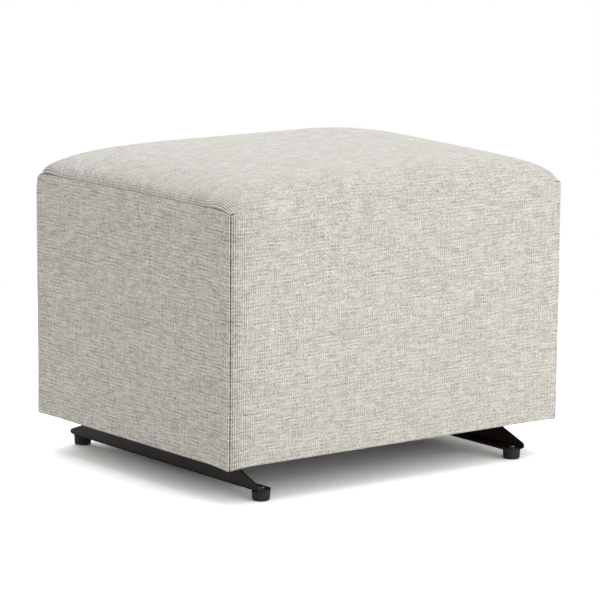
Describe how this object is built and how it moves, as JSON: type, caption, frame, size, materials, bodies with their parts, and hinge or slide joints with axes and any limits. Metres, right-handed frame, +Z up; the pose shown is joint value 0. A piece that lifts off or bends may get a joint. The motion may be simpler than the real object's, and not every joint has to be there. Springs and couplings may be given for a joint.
{
  "type": "glider ottoman",
  "caption": "Upholstered footstool with a crowned top that glides front to back on swing links inside a low steel base with round rubber feet.",
  "frame": {"origin": "on the floor, under the middle of the body at rest", "axes": "+X across the width, +Y towards the back, along the glide, +Z up; the front faces -Y"},
  "size_m": [0.597, 0.462, 0.4529],
  "materials": {
    "upholstery": "woven, light greige",
    "dust_cloth": "non-woven, black",
    "foam": "open-cell foam",
    "fibre_padding": "matted fibre",
    "plywood": "sanded plywood",
    "fibreboard": "smooth fibreboard",
    "timber": "planed softwood",
    "base_steel": "satin brown-black paint",
    "link_steel": "zinc plated",
    "fastener_steel": "zinc plated",
    "nylon": "natural nylon",
    "rubber": "moulded, black"
  },
  "bodies": {
    "base": {"base_side_left": "base_steel", "base_side_right": "base_steel", "cross_bar_back": "base_steel", "cross_bar_bolts": "fastener_steel", "cross_bar_front": "base_steel", "foot_back_left": "rubber", "foot_back_right": "rubber", "foot_front_left": "rubber", "foot_front_right": "rubber", "foot_screws": "fastener_steel", "stop_bumpers": "rubber", "upper_pivot_clips": "fastener_steel", "upper_pivot_pins": "fastener_steel", "upper_pivot_spacers": "fastener_steel"},
    "link_front_left": {"link_bushes_front_left": "nylon", "link_front_left": "link_steel"},
    "link_front_right": {"link_bushes_front_right": "nylon", "link_front_right": "link_steel"},
    "link_back_left": {"link_back_left": "link_steel", "link_bushes_back_left": "nylon"},
    "link_back_right": {"link_back_right": "link_steel", "link_bushes_back_right": "nylon"},
    "body": {"bottom_rail_back": "timber", "bottom_rail_front": "timber", "bottom_rail_left": "timber", "bottom_rail_right": "timber", "corner_post_back_left": "timber", "corner_post_back_right": "timber", "corner_post_front_left": "timber", "corner_post_front_right": "timber", "cover_centre": "upholstery", "cover_left": "upholstery", "cover_right": "upholstery", "deck_board": "plywood", "deck_screws": "fastener_steel", "deck_slat": "timber", "dust_cover": "dust_cloth", "fibre_wrap": "fibre_padding", "foam_pad": "foam", "hanger_rail_left": "base_steel", "hanger_rail_right": "base_steel", "hanger_screws": "fastener_steel", "hem_staples": "fastener_steel", "lower_pivot_clips": "fastener_steel", "lower_pivot_pins": "fastener_steel", "lower_pivot_spacers": "fastener_steel", "mechanism_rail_left": "timber", "mechanism_rail_right": "timber", "side_board_back": "fibreboard", "side_board_front": "fibreboard", "side_board_left": "fibreboard", "side_board_right": "fibreboard", "side_padding_back": "fibre_padding", "side_padding_front": "fibre_padding", "side_padding_left": "fibre_padding", "side_padding_right": "fibre_padding", "top_rail_back": "timber", "top_rail_front": "timber", "top_rail_left": "timber", "top_rail_right": "timber"}
  },
  "joints": [
    {"name": "front_left_swing", "type": "hinge", "parent": "base", "child": "link_front_left", "pos_m": [-0.2312, -0.1, 0.185], "axis": [1, 0, 0], "range_deg": [-22, 22]},
    {"name": "front_right_swing", "type": "hinge", "parent": "base", "child": "link_front_right", "pos_m": [0.2312, -0.1, 0.185], "axis": [1, 0, 0], "range_deg": [-22, 22]},
    {"name": "back_left_swing", "type": "hinge", "parent": "base", "child": "link_back_left", "pos_m": [-0.2312, 0.1, 0.185], "axis": [1, 0, 0], "range_deg": [-22, 22]},
    {"name": "back_right_swing", "type": "hinge", "parent": "base", "child": "link_back_right", "pos_m": [0.2312, 0.1, 0.185], "axis": [1, 0, 0], "range_deg": [-22, 22]},
    {"name": "body_level", "type": "hinge", "parent": "link_front_left", "child": "body", "pos_m": [-0.2312, -0.1, 0.075], "axis": [1, 0, 0], "range_deg": [-22, 22]}
  ],
  "couplings": [
    {"joint": "front_right_swing", "follows": "front_left_swing", "ratio": 1},
    {"joint": "back_left_swing", "follows": "front_left_swing", "ratio": 1},
    {"joint": "back_right_swing", "follows": "front_left_swing", "ratio": 1},
    {"joint": "body_level", "follows": "front_left_swing", "ratio": -1}
  ]
}
